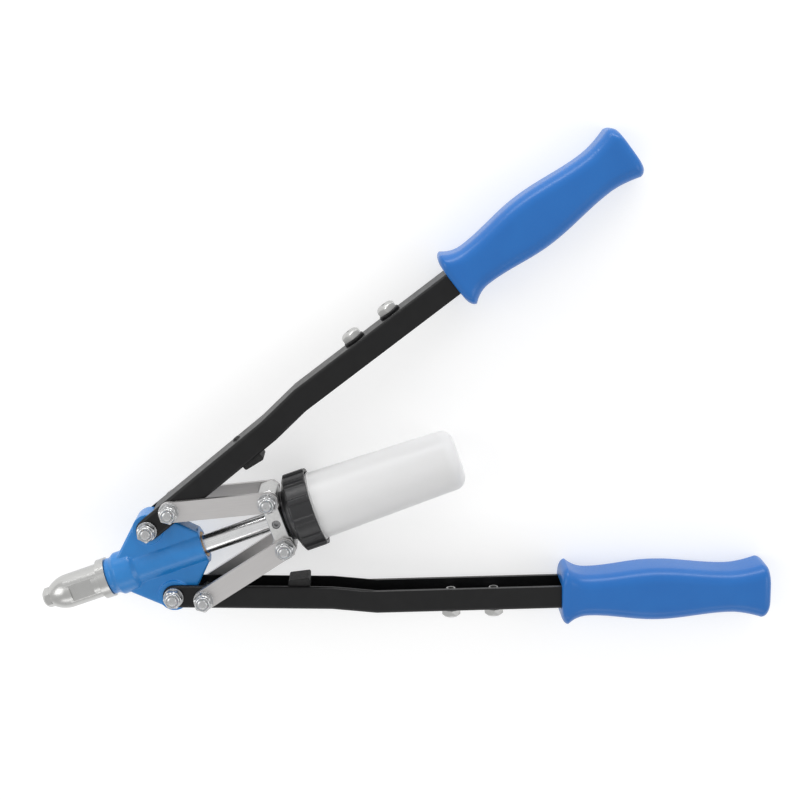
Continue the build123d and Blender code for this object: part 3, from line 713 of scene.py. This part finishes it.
# Jaw spring ----------------------------------------------------------------------------


def make_spring():
    """A wound spring with closer end turns, built at one length: nothing here makes it shorten as the jaw
    pusher comes back.
    """
    low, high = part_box("jaw_spring")
    start, end = low.x + SPRING_WIRE, high.x - SPRING_WIRE
    coil = high.y - SPRING_WIRE - 0.02 * MM
    steps = 40 * SPRING_TURNS
    places = []
    for step in range(steps + 1):
        share = step / steps
        along = share - 0.08 * math.sin(2 * math.pi * share)
        turn = 2 * math.pi * SPRING_TURNS * share
        places.append(Vector((start + (end - start) * along, coil * math.cos(turn), coil * math.sin(turn))))
    rings = []
    for step, place in enumerate(places):
        forward = (places[min(step + 1, steps)] - places[max(step - 1, 0)]).normalized()
        out = Vector((0, place.y, place.z)).normalized()
        side = forward.cross(out)
        ring = []
        for corner in range(16):
            turn = 2 * math.pi * corner / 16
            ring.append(place + (out * math.cos(turn) + side * math.sin(turn)) * SPRING_WIRE)
        rings.append(ring)
    spring = mesh_piece("wound_jaw_spring", [skin(rings)])
    stand_in(spring, "drawbar", "jaw_spring")
    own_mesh(spring)


# Castings, mouldings and kept nodes ----------------------------------------------------


def make_soft_pieces():
    """Cast and moulded pieces, with their corners rounded."""
    stand_in(softened("cast_housing", "nose_housing", 0.45 * MM, 2), "housing", "nose_housing")
    stand_in(softened("ribbed_cap", "bottle_cap", 0.4 * MM, 3), "drawbar", "bottle_cap")
    for side in ("upper", "lower"):
        stand_in(softened(f"{side}_rubber_bumper", f"{side}_bumper", 0.3 * MM, 4), f"{side}_arm",
                 f"{side}_bumper")


def bevel_nodes():
    """Small edge roundings on the steel pieces that keep their CAD shape."""
    for node in ("nosepiece", "nose_barrel", "crosshead", "pivot_washers"):
        bevelled(node, 0.25 * MM)
    for side in ("upper", "lower"):
        for part in ("link_washers", "sockets", "spare_nosepiece_1", "spare_nosepiece_2"):
            bevelled(f"{side}_{part}", 0.2 * MM)


make_soft_pieces()
bevel_nodes()
make_bottle()
make_spring()
make_fasteners("pivot", "housing", [PIVOT, mirrored(PIVOT, -1)], PIVOT_TURNS, "pivot_nuts", "pivot_bolts",
               "pivot_washers")
for side, mirror in (("upper", 1), ("lower", -1)):
    make_grip(side, mirror)
    pins = [mirrored(LINK_PIVOT, mirror), mirrored(CROSSHEAD_PIN, mirror)]
    make_fasteners(f"{side}_link", f"{side}_links", pins, LINK_TURNS,
                   f"{side}_link_nuts", f"{side}_link_bolts", f"{side}_link_washers")


# Studio --------------------------------------------------------------------------------


def make_camera():
    """The photograph's viewing angle: distance, tilt, swing and roll about the view centre."""
    turn = (Matrix.Rotation(VIEW_ROLL, 3, "Z") @ Matrix.Rotation(VIEW_TILT, 3, "X")
            @ Matrix.Rotation(VIEW_SWING, 3, "Y")).transposed()
    data = bpy.data.cameras.new("camera")
    data.lens = LENS
    camera = bpy.data.objects.new("camera", data)
    bpy.context.scene.collection.objects.link(camera)
    place = turn @ (VIEW_CENTRE + Vector((0, 0, VIEW_DISTANCE)))
    camera.matrix_world = Matrix.Translation(place) @ turn.to_4x4()
    bpy.context.scene.camera = camera
    return turn


def make_floor():
    """Pale floor that the cap and the two grips lie on."""
    cap_low, cap_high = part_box("bottle_cap")
    grip_low, grip_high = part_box("upper_grip")
    front = Vector((cap_high.x - 5 * MM, 0, cap_low.z))
    rear = Vector(((grip_low.x + grip_high.x) / 2, 0, grip_low.z + 0.7 * MM))
    slope = math.atan2(rear.z - front.z, rear.x - front.x)
    corners = [(-FLOOR_REACH, -FLOOR_REACH, 0), (FLOOR_REACH, -FLOOR_REACH, 0),
               (FLOOR_REACH, FLOOR_REACH, 0), (-FLOOR_REACH, FLOOR_REACH, 0)]
    floor = mesh_piece("floor", [(corners, [(0, 1, 2, 3)])])
    floor.matrix_world = Matrix.Translation(front) @ Matrix.Rotation(-slope, 4, "Y")
    f = Finish("floor_white", (0.58, 0.58, 0.58), 0.7, Specular_IOR_Level=0.1)
    f.vary_color(f.spread(f.noise(3, 3), 0, 0.5), (0.60, 0.60, 0.60))
    f.shader.inputs["Emission Color"].default_value = (1, 1, 1, 1)
    f.shader.inputs["Emission Strength"].default_value = FLOOR_GLOW
    floor.data.materials.append(f.material)


def make_light(name, place, size, power, aim):
    """A soft box at a place, pointing at a spot."""
    data = bpy.data.lights.new(name, "AREA")
    data.shape = "RECTANGLE"
    data.size, data.size_y = size
    data.energy = power
    lamp = bpy.data.objects.new(name, data)
    bpy.context.scene.collection.objects.link(lamp)
    lamp.location = place
    lamp.rotation_mode = "QUATERNION"
    lamp.rotation_quaternion = (aim - place).to_track_quat("-Z", "Y")


def make_lights(turn):
    """Soft boxes placed by the camera's own right, up and back directions, and a pale world."""
    right, up, back = turn.col
    aim = LIGHT_AIM
    make_light("sky_box", aim + up * 1.1 + back * 0.55, (1.8, 0.14), 9, aim)
    make_light("left_box", aim - right * 1.2 + back * 0.9, (0.8, 0.8), 4, aim)
    make_light("right_box", aim + right * 1.3 - up * 0.3 + back * 0.9, (0.8, 0.8), 3, aim)
    make_light("low_box", aim - up * 1.3 + back * 0.6, (1.6, 0.4), 2.5, aim)
    world = bpy.data.worlds.new("studio")
    world.use_nodes = True
    world.node_tree.nodes["Background"].inputs["Color"].default_value = (1, 1, 1, 1)
    world.node_tree.nodes["Background"].inputs["Strength"].default_value = WORLD_GLOW
    bpy.context.scene.world = world
    bpy.context.scene.view_settings.view_transform = "Standard"


camera_turn = make_camera()
make_floor()
make_lights(camera_turn)
